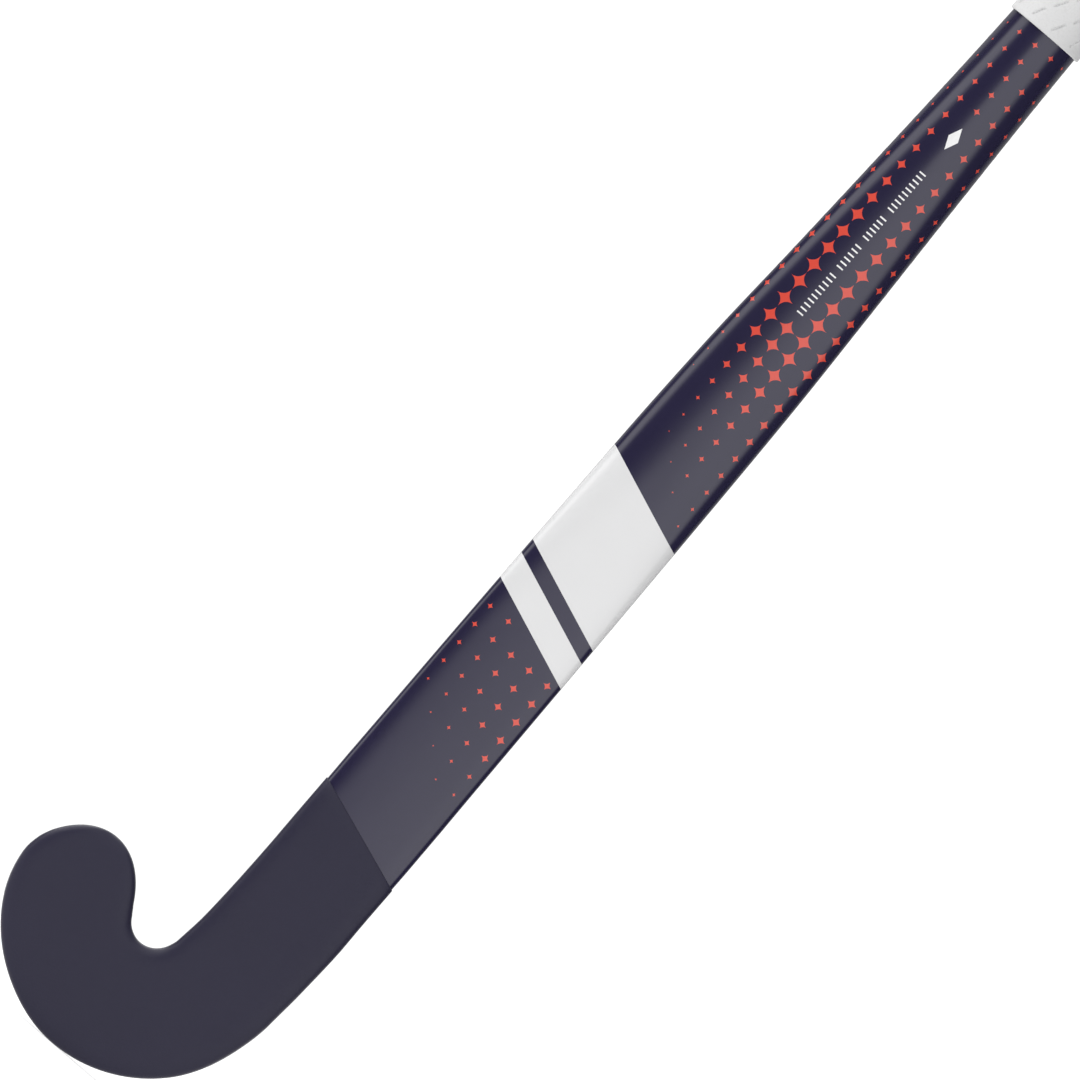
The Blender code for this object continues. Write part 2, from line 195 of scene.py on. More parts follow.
class Cut:
    """One cross-section: its two edges as x and height, and how deep it is in front and behind."""

    def __init__(self, toe_edge, heel_edge, height, inset, front_share=1.0, back_share=1.0):
        self.toe_edge = np.array(toe_edge)
        self.heel_edge = np.array(heel_edge)
        self.half_width = np.linalg.norm(self.heel_edge - self.toe_edge) / 2
        self.flat = smooth_table(SECTIONS, height, 1)
        self.roundness = smooth_table(SECTIONS, height, 2)
        front = smooth_table(SECTIONS, height, 3)
        self.middle = face_depth(height) + front - HANDLE_FRONT_DEPTH
        self.front = (front - inset) * front_share
        self.back = (smooth_table(SECTIONS, height, 4) - inset) * back_share
        crowned = ease((height - CROWN_START) / (CROWN_END - CROWN_START))
        self.crown = FACE_CROWN * crowned * self.flat / SECTIONS[0][1]

    def front_depth(self, across):
        """Depth of the face at shares of the half width."""
        edge = np.clip((np.abs(across) - self.flat) / (1 - self.flat), 0, 1)
        front = self.front - self.crown * across * across
        return self.middle - front * (1 - edge**self.roundness) ** (1 / self.roundness)

    def back_depth(self, across):
        return self.middle + self.back * np.sqrt(np.clip(1 - across * across, 0, 1))

    def place(self, across, depth):
        """Points in millimetres at shares of the half width and depths."""
        share = (1 + across[:, None]) / 2
        edge = self.toe_edge + (self.heel_edge - self.toe_edge) * share
        return np.stack([edge[:, 0], depth, edge[:, 1]], axis=1)


def quarter(cut, side):
    """Shares of the half width and depths from an edge to the middle, closely spaced."""
    across = np.cos(np.linspace(0, 1, EDGE_POINTS) ** 2 * math.pi / 2)
    return across, (cut.front_depth if side == "front" else cut.back_depth)(across)


def spread(cut, side, count):
    """The same quarter in fewer steps, which are shorter where the surface turns."""
    across, depth = quarter(cut, side)
    steps = np.hypot(np.diff(across) * cut.half_width, np.diff(depth))
    heading = np.unwrap(np.arctan2(np.diff(depth), np.diff(across) * cut.half_width))
    turning = np.abs(np.diff(heading, prepend=heading[0]))
    weight = steps / steps.sum() + turning / max(turning.sum(), 0.1)
    along = np.concatenate([[0], np.cumsum(weight)])
    at = np.linspace(0, along[-1], count + 1)
    return np.interp(at, along, across), np.interp(at, along, depth)


def ring(cut):
    """A closed loop of points round a section, from the heel-side edge by way of the back."""
    back, back_depth = spread(cut, "back", BACK_POINTS)
    front, front_depth = spread(cut, "front", FRONT_POINTS)
    across = np.concatenate([back, -back[-2::-1], -front[1:], front[-2:0:-1]])
    depth = np.concatenate([back_depth, back_depth[-2::-1], front_depth[1:], front_depth[-2:0:-1]])
    return cut.place(across, depth)


def shaft_cut(height, inset):
    inset += rebate(height)
    toe_x = smooth_table(SHAFT_OUTLINE, height, 1) + inset
    heel_x = smooth_table(SHAFT_OUTLINE, height, 2) - inset
    return Cut((toe_x, height), (heel_x, height), height, inset)


def hook_cut(degrees, inset):
    """The section on a spoke of the bend, counted down from the heel side."""
    inset += COAT_STEP
    inner = smooth_table(HOOK_OUTLINE, degrees, 1) + inset
    outer = smooth_table(HOOK_OUTLINE, degrees, 2) - inset
    spoke = np.array((math.cos(math.radians(degrees)), -math.sin(math.radians(degrees))))
    return Cut(HOOK_CENTRE + inner * spoke, HOOK_CENTRE + outer * spoke, 0.0, inset)


def toe_cut(share, inset):
    """The section across the toe's end, at a share of the way from the bend to the tip."""
    inset += COAT_STEP
    rise, half_width = TOE_RISE - inset, TOE_HALF_WIDTH - inset
    first = HOOK_CENTRE[1] - TOE_CENTRE[1]
    height = first + (rise - first) * share
    half = half_width * math.sqrt(max(0.0, 1 - (height / rise) ** 2))
    level = TOE_CENTRE[1] + height
    front_share = max(0.0, 1 - share**TOE_EDGE_ROUNDNESS) ** (1 / TOE_EDGE_ROUNDNESS)
    back_share = math.sqrt(max(0.0, 1 - share * share))
    inner, outer = (TOE_CENTRE[0] + half, level), (TOE_CENTRE[0] - half, level)
    return Cut(inner, outer, 0.0, inset, front_share, back_share)


def head_rings(inset, fineness=1.0):
    """From just below the toe's tip, round the bend, to the start of the straight part."""
    toe_steps = round(TOE_STEPS * fineness)
    hook_steps = round(180 / HOOK_STEP * fineness)
    turns = [math.pi / 2 * index / (toe_steps + 1) for index in range(toe_steps, 0, -1)]
    cuts = [toe_cut(math.sin(turn), inset) for turn in turns]
    cuts += [hook_cut(180 * (1 - index / hook_steps), inset) for index in range(hook_steps)]
    return [ring(cut) for cut in cuts]


def toe_tip(inset):
    cut = toe_cut(1.0, inset)
    return cut.place(np.zeros(1), np.array([cut.middle]))[0]


def shaft_rings(inset, bottom, top, step=SHAFT_STEP):
    count = max(1, round((top - bottom) / step))
    return [ring(shaft_cut(height, inset)) for height in np.linspace(bottom, top, count + 1)]


# Meshes


def to_frame(points):
    """Metres of the shared frame, from x, depth and height in millimetres."""
    return (np.asarray(points, float) - (0, 0, HAND_HEIGHT)) * MM


def skin_faces(rows, columns, start=0, closed=True):
    """Quads between neighbouring rows of a grid of points."""
    across = columns if closed else columns - 1
    row, column = np.meshgrid(np.arange(rows - 1), np.arange(across), indexing="ij")
    after = (column + 1) % columns
    corners = [row * columns + column, row * columns + after]
    corners += [(row + 1) * columns + after, (row + 1) * columns + column]
    return (np.stack(corners, axis=-1).reshape(-1, 4) + start).tolist()


def fan_faces(first, count, tip):
    """Triangles from a loop of points to one point."""
    return [(first + index, first + (index + 1) % count, tip) for index in range(count)]


def mesh_piece(name, points, faces, material):
    """A piece made of closed bodies, which rides on the stick's one body."""
    mesh = bpy.data.meshes.new(name)
    mesh.from_pydata(to_frame(points).tolist(), [], faces)
    bm = bmesh.new()
    bm.from_mesh(mesh)
    bmesh.ops.recalc_face_normals(bm, faces=bm.faces)
    bm.to_mesh(mesh)
    bm.free()
    mesh.shade_smooth()
    mesh.set_sharp_from_angle(angle=math.radians(SHARP_DEGREES))
    mesh.materials.append(material)
    piece = bpy.data.objects.new(name, mesh)
    bpy.context.scene.collection.objects.link(piece)
    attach(piece, "root")
    return piece


def wall_faces(outer_rows, inner_rows, columns, shut):
    """Faces of a tube, outer rows first: open at both ends, or with its first end shut by tips."""
    inside = outer_rows * columns
    faces = skin_faces(outer_rows, columns) + skin_faces(inner_rows, columns, inside)
    ends = [((outer_rows - 1) * columns, inside + (inner_rows - 1) * columns)]
    if shut:
        tip = inside + inner_rows * columns
        faces += fan_faces(0, columns, tip) + fan_faces(inside, columns, tip + 1)
    else:
        ends.append((0, inside))
    for out, within in ends:
        for index in range(columns):
            after = (index + 1) % columns
            faces.append((out + index, out + after, within + after, within + index))
    return faces


def sleeve(outer, inner):
    """Points and faces of a tube with a wall."""
    return np.concatenate([*outer, *inner]), wall_faces(len(outer), len(inner), len(outer[0]), False)


def sock(outer, outer_tip, inner, inner_tip):
    """Points and faces of a hollow piece that is shut at the toe."""
    points = np.concatenate([*outer, *inner, [outer_tip, inner_tip]])
    return points, wall_faces(len(outer), len(inner), len(outer[0]), True)


# The print on the shaft


class Skin:
    """The bare shaft's outer surface, by the distance round from the middle of the face and the height."""

    def __init__(self, bottom, top):
        self.bottom = bottom
        self.heights = np.arange(bottom, top + 1, 1.0)
        shares, depths, edges, reach = [], [], [], []
        for height in self.heights:
            cut = shaft_cut(height, 0)
            front, front_depth = quarter(cut, "front")
            back, back_depth = quarter(cut, "back")
            across = np.concatenate([front[::-1], back[1:]])
            depth = np.concatenate([front_depth[::-1], back_depth[1:]])
            steps = np.hypot(np.diff(across) * cut.half_width, np.diff(depth))
            along = np.concatenate([[0], np.cumsum(steps)])
            at = np.linspace(0, along[-1], SKIN_COLUMNS + 1)
            shares.append(np.interp(at, along, across))
            depths.append(np.interp(at, along, depth))
            edges.append((cut.toe_edge[0], cut.heel_edge[0]))
            reach.append(along[-1])
        self.shares, self.depths = np.array(shares), np.array(depths)
        self.edges, self.reach = np.array(edges), np.array(reach)

    def half_round(self, height):
        """Distance from the middle of the face to the middle of the back."""
        return np.interp(height, self.heights, self.reach)

    def points(self, round_mm, height):
        """Points at distances round, positive towards the heel side, and heights."""
        round_mm = np.asarray(round_mm, float)
        round_mm, height = np.broadcast_arrays(round_mm, np.asarray(height, float))
        reach = self.half_round(height)
        wrapped = (round_mm + reach) % (2 * reach) - reach
        column = np.clip(np.abs(wrapped) / reach * SKIN_COLUMNS, 0, SKIN_COLUMNS - 1e-6)
        row = np.clip(height - self.bottom, 0, len(self.heights) - 1.001)
        i, j = row.astype(int), column.astype(int)
        p, q = row - i, column - j

        def blend(table):
            low = table[i, j] * (1 - q) + table[i, j + 1] * q
            high = table[i + 1, j] * (1 - q) + table[i + 1, j + 1] * q
            return low * (1 - p) + high * p

        share = blend(self.shares) * np.sign(wrapped)
        toe_x = np.interp(height, self.heights, self.edges[:, 0])
        heel_x = np.interp(height, self.heights, self.edges[:, 1])
        x = toe_x + (heel_x - toe_x) * (1 + share) / 2
        return np.stack([x, blend(self.depths), height], axis=-1)

    def normals(self, round_mm, height):
        """Unit normals that look outwards."""
        up, side = SKIN_REACH_UP, SKIN_REACH_ROUND
        along = self.points(round_mm, height + up) - self.points(round_mm, height - up)
        around = self.points(round_mm + side, height) - self.points(round_mm - side, height)
        normal = np.cross(around, along)
        return normal / np.linalg.norm(normal, axis=-1, keepdims=True)

    def round_of(self, x, height, back=False):
        """The distance round to an x on the face, or on the back. An x past an edge gives the edge."""
        at = np.linspace(0, float(self.half_round(height)), ROUND_POINTS)
        middle = float(self.points(0.0, height)[0])
        side = -1 if x < middle else 1
        reached = np.abs(self.points(side * at, height)[:, 0] - middle)
        widest = int(np.argmax(reached))
        part = slice(widest, None) if back else slice(0, widest + 1)
        order = np.argsort(reached[part])
        return side * float(np.interp(abs(x - middle), reached[part][order], at[part][order]))


class Print:
    """Thin patches of ink on the shaft, gathered into one piece."""

    def __init__(self, skin):
        self.skin = skin
        self.points, self.normals, self.faces = [], [], []
        self.count = 0

    def patch(self, round_mm, height, faces, rims):
        """A patch from its points on the skin, its upper faces and its outlines, each in order."""
        base = self.skin.points(round_mm, height)
        normal = self.skin.normals(round_mm, height)
        start, size = self.count, len(base)
        self.points += [base + INK * normal, base]
        self.normals += [normal, -normal]
        for lower in (0, size):
            self.faces += [[start + lower + corner for corner in face] for face in faces]
        for rim in rims:
            for first, second in zip(rim, rim[1:] + rim[:1]):
                upper, under = start + first, start + size + first
                self.faces.append((upper, start + second, start + size + second, under))
        self.count += 2 * size

    def piece(self, name, material):
        points = np.concatenate(self.points)
        made = mesh_piece(name, points, self.faces, material)
        normals = np.concatenate(self.normals)
        made.data.normals_split_custom_set_from_vertices(normals.tolist())
        return made


def polar_patch(ink, round_mm, height, rim, layers):
    """A patch inside an outline that can be seen whole from its middle."""
    shares = [(layer + 1) / layers for layer in range(layers)]
    points = np.concatenate([np.zeros((1, 2)), *[rim * share for share in shares]])
    count = len(rim)
    faces = fan_faces(1, count, 0) + skin_faces(layers, count, 1)
    outline = [1 + (layers - 1) * count + index for index in range(count)]
    ink.patch(round_mm + points[:, 0], height + points[:, 1], faces, [outline])


# Height, and x of the stars' five columns there
STAR_COLUMNS = (
    (300.0, -20.0, -9.8, -1.8, 6.2, 16.2),
    (343.0, -19.3, -9.8, -1.6, 6.5, 16.0),
    (410.0, -17.9, -9.4, -1.2, 7.2, 16.0),
    (443.0, -16.1, -9.1, -0.7, 7.6, 15.4),
    (477.0, -15.1, -8.6, -0.3, 7.7, 14.6),
    (502.0, -14.2, -8.2, -0.1, 7.8, 14.0),
    (527.0, -13.4, -7.7, 0.1, 7.9, 13.5),
)
FIRST_ROW, ROW_PITCH, ROWS = 301.6, 8.344, 28
# For each column, pairs of a height and the length of a star's arm there
STAR_ARMS = (
    ((335, 0.0), (360, 0.6), (385, 1.5), (418, 2.0), (452, 1.6), (485, 0.9), (530, 0.6)),
    (
        (318, 0.0), (343, 1.0), (368, 2.5), (385, 3.6), (402, 4.1),
        (427, 3.7), (460, 2.4), (494, 1.7), (530, 1.2),
    ),
    ((310, 0.0), (327, 0.8), (343, 1.5), (368, 2.8), (385, 3.6), (460, 1.8), (494, 1.6), (530, 1.4)),
    (
        (301, 0.0), (318, 0.9), (343, 2.0), (377, 3.8), (394, 4.1),
        (427, 3.3), (460, 2.3), (502, 1.8), (530, 1.5),
    ),
    ((293, 0.0), (301, 0.6), (343, 2.0), (377, 2.9), (410, 2.1), (443, 1.5), (510, 1.2), (530, 0.9)),
)
EDGE_ARMS = ((385, 0.0), (418, 1.0), (452, 1.3), (485, 1.0), (530, 0.6))  # the same, along each edge
MIDDLE_COLUMN = 2
CLEARED = (390.0, 489.0)  # heights over which the face's middle column is left out, for the marks there

# The stars below the bands: heights of the rows, and the arms in each column
LOW_PITCH = 9.0
LOW_ROWS = (169.6, 178.6, 187.6, 196.6, 205.6, 214.6, 223.6, 232.6)
LOW_ARMS = (
    (0.0, 0.0, 0.0, 0.7, 1.1, 1.2, 1.4, 1.3),
    (0.0, 0.0, 0.5, 0.9, 1.2, 1.4, 1.6, 1.5),
    (0.0, 0.4, 0.9, 1.2, 1.5, 1.7, 1.8, 0.0),
    (0.5, 0.9, 1.3, 1.7, 1.9, 1.9, 1.9, 0.0),
    (0.8, 1.2, 1.8, 2.1, 2.1, 2.1, 1.8, 0.0),
)

SMALLEST_ARM = 0.3  # stars with shorter arms are left out
STAR_SPREAD = 1.2  # how far out the discs between a star's arms stand, for an arm of 1
SMALL_ARM = 1.5  # stars with shorter arms are divided less finely
SMALL_STAR, LARGE_STAR = (4, 2), (7, 5)  # steps along each side, and layers from the middle
BEYOND_EDGE = 100.0  # an x outside the stick


def star(ink, round_mm, height, arm, pitch):
    """The gap between four equal discs, as on a square lattice."""
    half = min(STAR_SPREAD * arm, pitch / 2)
    steps, layers = SMALL_STAR if arm < SMALL_ARM else LARGE_STAR
    radius = math.hypot(half, half - arm)
    first, last = math.atan2(-half, arm - half), math.atan2(arm - half, -half)
    rim = []
    for turn in range(4):
        cosine, sine = math.cos(turn * math.pi / 2), math.sin(turn * math.pi / 2)
        for index in range(steps):
            angle = first + (last - first) * index / steps
            x, y = half + radius * math.cos(angle), half + radius * math.sin(angle)
            rim.append((x * cosine - y * sine, x * sine + y * cosine))
    polar_patch(ink, round_mm, height, np.array(rim), layers)


def print_stars(skin):
    """Both lattices of stars, on the face and the back, and a column along each edge."""
    ink = Print(skin)
    for row in range(ROWS):
        height = FIRST_ROW + row * ROW_PITCH
        for column, arms in enumerate(STAR_ARMS):
            arm = smooth_table(arms, height, 1)
            if arm < SMALLEST_ARM:
                continue
            x = smooth_table(STAR_COLUMNS, height, column + 1)
            if not (column == MIDDLE_COLUMN and CLEARED[0] < height < CLEARED[1]):
                star(ink, skin.round_of(x, height), height, arm, ROW_PITCH)
            star(ink, skin.round_of(x, height, back=True), height, arm, ROW_PITCH)
        arm = smooth_table(EDGE_ARMS, height, 1)
        if arm >= SMALLEST_ARM:
            for side in (-1, 1):
                star(ink, skin.round_of(side * BEYOND_EDGE, height), height, arm, ROW_PITCH)
    for column, arms in enumerate(LOW_ARMS):
        x = (column - MIDDLE_COLUMN) * LOW_PITCH
        for height, arm in zip(LOW_ROWS, arms):
            if arm >= SMALLEST_ARM:
                for back in (False, True):
                    star(ink, skin.round_of(x, height, back), height, arm, LOW_PITCH)
    return ink


BAND_COLUMNS, BAND_STEP = 240, 3.0  # points round a band, and height between their rows


def print_bands(skin):
    """The slanted bands, which go all the way round."""
    ink = Print(skin)
    turns = np.arange(BAND_COLUMNS) / BAND_COLUMNS * 2 - 1
    for top, bottom in BANDS:
        rows = max(3, round((top - bottom) / BAND_STEP))
        round_mm, heights = [], []
        for level in np.linspace(bottom, top, rows):
            x = skin.points(turns * skin.half_round(level), level)[:, 0]
            height = level - BAND_SLOPE * x
            round_mm.append(turns * skin.half_round(height))
            heights.append(height)
        last = (rows - 1) * BAND_COLUMNS
        rims = [list(range(BAND_COLUMNS)), list(range(last, last + BAND_COLUMNS))]
        faces = skin_faces(rows, BAND_COLUMNS)
        ink.patch(np.concatenate(round_mm), np.concatenate(heights), faces, rims)
    return ink


# Groups of short bars along the middle of the face: first and last height of each group
BAR_GROUPS = ((392.6, 411.4), (415.4, 425.9), (430.2, 440.0), (444.4, 462.5))
BAR_PITCH, BAR_THICKNESS, BAR_LENGTH = 2.09, 0.6, 2.9
BAR_COLUMNS = 5  # points along a bar
LOZENGE = (480.0, 2.3, 5.2)  # height of its middle, half width, half height
LOZENGE_STEPS, LOZENGE_LAYERS = 6, 5  # steps along each side, and layers from the middle


def print_marks(skin):
    """The bars and the lozenge."""
    ink = Print(skin)
    for first, last in BAR_GROUPS:
        count = round((last - first) / BAR_PITCH) + 1
        for height in np.linspace(first, last, count):
            middle = skin.round_of(smooth_table(STAR_COLUMNS, height, MIDDLE_COLUMN + 1), height)
            across = np.linspace(-0.5, 0.5, BAR_COLUMNS) * BAR_LENGTH + middle
            levels = (height - BAR_THICKNESS / 2, height + BAR_THICKNESS / 2)
            round_mm, level = np.meshgrid(across, levels)
            outline = [*range(BAR_COLUMNS), *range(2 * BAR_COLUMNS - 1, BAR_COLUMNS - 1, -1)]
            faces = skin_faces(2, BAR_COLUMNS, closed=False)
            ink.patch(round_mm.ravel(), level.ravel(), faces, [outline])
    height, half_width, half_height = LOZENGE
    corners = np.array(((half_width, 0), (0, half_height), (-half_width, 0), (0, -half_height)), float)
    share = np.tile(np.arange(LOZENGE_STEPS) / LOZENGE_STEPS, len(corners))[:, None]
    start = np.repeat(corners, LOZENGE_STEPS, axis=0)
    end = np.repeat(np.roll(corners, -1, axis=0), LOZENGE_STEPS, axis=0)
    rim = start + (end - start) * share
    middle = skin.round_of(smooth_table(STAR_COLUMNS, height, MIDDLE_COLUMN + 1), height)
    polar_patch(ink, middle, height, rim, LOZENGE_LAYERS)
    return ink


# The pieces


def build_body(material):
    """The lacquered laminate, hollow from the toe to the butt."""
    outer = head_rings(0) + shaft_rings(0, HOOK_CENTRE[1], SHELL_TOP)
    inner = head_rings(WALL, INSIDE_FINENESS) + shaft_rings(WALL, HOOK_CENTRE[1], SHELL_TOP, INSIDE_STEP)
    points, faces = sock(outer, toe_tip(0), inner, toe_tip(WALL))
    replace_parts(mesh_piece("stick_body", points, faces, material), "stick_shell")


def slanted_ring(height, inset, share=1.0):
    """The section through a height on the centre line, at a share of the slant of the coat's edge."""
    level = ring(shaft_cut(height, inset))
    heights = np.round(height - share * COAT_SLOPE * level[:, 0], 2)
    loops = {at: ring(shaft_cut(at, inset)) for at in set(heights)}
    return np.array([loops[at][index] for index, at in enumerate(heights)])


def build_coat(material):
    """The matte skin on the head, whose upper edge is rounded."""
    outside, inside = -COAT_STEP, CONTACT_INSET
    bottom, top = HOOK_CENTRE[1], COAT_STRAIGHT_TOP
    slants = [(height, (height - top) / (COAT_EDGE - top)) for height in COAT_SLANT_HEIGHTS]
    outer = head_rings(outside) + shaft_rings(outside, bottom, top)
    for height, share in slants:
        outer.append(slanted_ring(height, outside + COAT_THINNING * share, share))
    for turn in (0, 30, 60, 90):
        angle = math.radians(turn)
        height = COAT_EDGE - COAT_LIP * (1 - math.sin(angle))
        outer.append(slanted_ring(height, outside + COAT_THINNING + COAT_LIP * (1 - math.cos(angle))))
    inner = head_rings(inside, INSIDE_FINENESS) + shaft_rings(inside, bottom, top, INSIDE_STEP)
    inner += [slanted_ring(height, inside, share) for height, share in slants]
    inner.append(slanted_ring(COAT_EDGE, inside))
    points, faces = sock(outer, toe_tip(outside), inner, toe_tip(inside))
    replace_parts(mesh_piece("coat", points, faces, material), "head_coat")


# The grip and the cap

# The dashes debossed in the collar
GROOVE_DEPTH = 0.65
GROOVE_ROWS = (537.6, 545.0, 552.4)
GROOVES_ROUND = 10
FIRST_GROOVE = -2.5  # distance round from the middle of the face
GROOVE_LENGTH, GROOVE_WIDTH = 3.0, 0.45  # half length and half width
GROOVE_FADE = 1.5  # a dash's depth ends this many half widths off its line
GROOVE_STITCH = 1.1  # length of the stitches that a dash is made of
STITCH_DEPTH = 0.25  # by how much they vary, on each side of the mean depth
GROOVE_SLANT = math.radians(60)

COLLAR_EDGE = 0.45  # rounding of the collar's lower edge
COLLAR_TAPER = 0.2  # how much its upper edge draws in
COLLAR_COLUMNS, COLLAR_STEP = 360, 0.28  # points round it, and height between their rows
COLLAR_FIRST, COLLAR_LAST = 0.8, 0.5  # these rows keep this far from its lower and upper edge


def grooves(round_mm, height, reach):
    """How deep the collar's dashes are, from 0 to 1, at distances round the handle and heights."""
    pitch = 2 * reach / GROOVES_ROUND
    deep = np.zeros_like(round_mm)
    for index, level in enumerate(GROOVE_ROWS):
        shifted = round_mm - FIRST_GROOVE + pitch * (index % 2) / 2
        x = (shifted + pitch / 2) % pitch - pitch / 2
        y = height - level
        along = x * math.cos(GROOVE_SLANT) + y * math.sin(GROOVE_SLANT)
        across = x * math.sin(GROOVE_SLANT) - y * math.cos(GROOVE_SLANT)
        off = np.hypot(np.maximum(np.abs(along) - GROOVE_LENGTH + GROOVE_WIDTH, 0), across)
        stitch = 1 - STITCH_DEPTH + STITCH_DEPTH * np.cos(along / GROOVE_STITCH * 2 * math.pi)
        deep = np.maximum(deep, np.clip(GROOVE_FADE - off / GROOVE_WIDTH, 0, 1) * stitch)
    return deep * deep * (3 - 2 * deep)


def even_ring(height, inset, columns, grooved=False):
    """A ring of evenly spaced points round the handle, with or without the collar's grooves."""
    cut = shaft_cut(height, inset)
    turn = np.arange(columns) / columns * 2 * math.pi
    across = np.cos(turn)
    depth = np.where(np.sin(turn) > 0, cut.back_depth(across), cut.front_depth(across))
    points = cut.place(across, depth)
    if grooved:
        centre = cut.place(np.zeros(1), np.array([cut.middle]))[0]
        reach = cut.half_width * math.pi
        deep = grooves((turn - math.pi) / math.pi * reach, np.full(columns, height), reach)
        outwards = points - centre
        outwards /= np.linalg.norm(outwards, axis=1, keepdims=True)
        points = points - outwards * (deep * GROOVE_DEPTH)[:, None]
    return points


def build_collar(material):
    """The band that finishes the grip's lower end, with slanted dashes debossed in it."""
    outer = []
    for turn in (90, 60, 30, 0):
        angle = math.radians(turn)
        inset = COLLAR_INSET + COLLAR_EDGE * (1 - math.cos(angle))
        height = COLLAR_BOTTOM + COLLAR_EDGE * (1 - math.sin(angle))
        outer.append(even_ring(height, inset, COLLAR_COLUMNS))
    for height in np.arange(COLLAR_BOTTOM + COLLAR_FIRST, COLLAR_TOP - COLLAR_LAST, COLLAR_STEP):
        outer.append(even_ring(height, COLLAR_INSET, COLLAR_COLUMNS, grooved=True))
    outer.append(even_ring(COLLAR_TOP, COLLAR_INSET + COLLAR_TAPER, COLLAR_COLUMNS))
    heights = np.linspace(COLLAR_BOTTOM, COLLAR_TOP, 5)
    inner = [even_ring(height, CONTACT_INSET, COLLAR_COLUMNS) for height in heights]
    points, faces = sleeve(outer, inner)
    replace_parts(mesh_piece("collar", points, faces, material), "grip_collar")


# The strip's section: share of its width from the lower edge, and share of its thickness there
STRIP_SECTION = (
    (0.0, 0.0),
    (0.0, 0.55),
    (0.012, 0.85),
    (0.04, 1.0),
    (0.15, 1.03),
    (0.35, 1.0),
    (0.6, 0.97),
    (0.85, 0.98),
    (0.94, 1.06),
    (0.975, 1.0),
    (0.993, 0.8),
    (1.0, 0.5),
    (1.0, 0.0),
)
STRIP_TURN_STEPS = 96  # steps in one turn round the handle


def build_strip(material):
    """The grip's strip, wound up the handle, with raised edges and tapered ends."""
    pitch = STRIP_WIDTH + FIT_GAP
    middle = GRIP_BOTTOM + STRIP_TIP - STRIP_WIDTH / 2
    rows = []
    while middle + STRIP_WIDTH / 2 < GRIP_TOP + STRIP_WIDTH - STRIP_TIP:
        low = max(middle - STRIP_WIDTH / 2, GRIP_BOTTOM)
        high = min(middle + STRIP_WIDTH / 2, GRIP_TOP)
        angle = -len(rows) * 2 * math.pi / STRIP_TURN_STEPS
        row = []
        for share, thick in STRIP_SECTION:
            thickness = STRIP_THIN + (STRIP_THICK - STRIP_THIN) * share
            cut = shaft_cut(low + (high - low) * share, STRIP_INSET - thickness * thick)
            across = np.array([math.cos(angle)])
            depth = (cut.back_depth if math.sin(angle) > 0 else cut.front_depth)(across)
            row.append(cut.place(across, depth)[0])
        rows.append(row)
        middle += pitch / STRIP_TURN_STEPS
    columns = len(STRIP_SECTION)
    faces = skin_faces(len(rows), columns)
    faces += [list(range(columns)), list(range((len(rows) - 1) * columns, len(rows) * columns))]
    piece = mesh_piece("wound_grip", np.concatenate(rows), faces, material)
    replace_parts(piece, "grip_strip")


# The cap's side, with a groove above its lip: height from its lower edge, and depth below its surface
CAP_SIDE = (
    (0.0, 0.5),
    (0.15, 0.15),
    (0.5, 0.0),
    (2.2, 0.0),
    (2.6, 0.12),
    (2.8, 0.35),
    (3.4, 0.35),
    (4.0, 0.12),
    (6.0, 0.0),
)
# The shallow dish in its top: distance from the middle, and depth
CAP_DISH = ((11.3, 0.0), (11.0, 0.12), (10.2, 0.9), (9.8, 1.0), (2.0, 0.9))
CAP_COLUMNS = 120  # points round the cap


def build_cap(material):
    """The rubber cap on the butt, with a bead at its lip and a shallow dish in its top."""
    profile = [(CAP_BOTTOM + rise, inwards) for rise, inwards in CAP_SIDE]
    for turn in range(0, 91, 10):
        angle = math.radians(turn)
        level = STICK_LENGTH - CAP_ROUNDING * (1 - math.sin(angle))
        profile.append((level, CAP_ROUNDING * (1 - math.cos(angle))))
    outer = [even_ring(SHELL_TOP, CAP_INSET + inwards, CAP_COLUMNS) for _, inwards in profile]
    for loop, (level, _) in zip(outer, profile):
        loop[:, 2] = level
    rim = outer[-1]
    centre = rim.mean(axis=0)
    radius = np.linalg.norm(rim - centre, axis=1).mean()
    for reach, drop in CAP_DISH:
        outer.append(centre + (rim - centre) * (reach / radius) - (0, 0, drop))
    levels = (SHELL_TOP - CONTACT_INSET, SHELL_TOP - 3.0, CAP_BOTTOM)
    inner = [even_ring(level, CONTACT_INSET, CAP_COLUMNS) for level in levels]
    dish_middle = centre - (0, 0, CAP_DISH[-1][1])
    points, faces = sock(outer[::-1], dish_middle, inner, inner[0].mean(axis=0))
    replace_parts(mesh_piece("cap", points, faces, material), "butt_cap")


# Materials

NAVY = (0.0184, 0.0161, 0.0396)
CORAL = (0.575, 0.066, 0.045)
WHITE = (0.61, 0.61, 0.615)
BRIGHT_WHITE = (0.72, 0.72, 0.72)
WHITE_VARIATION = 0.015
COAT_GREY = (0.0166, 0.0152, 0.0318)
COLLAR_WHITE = (0.595, 0.595, 0.597)
STRIP_WHITE = (0.615, 0.615, 0.617)
RUBBER_GREY = (0.022, 0.022, 0.024)


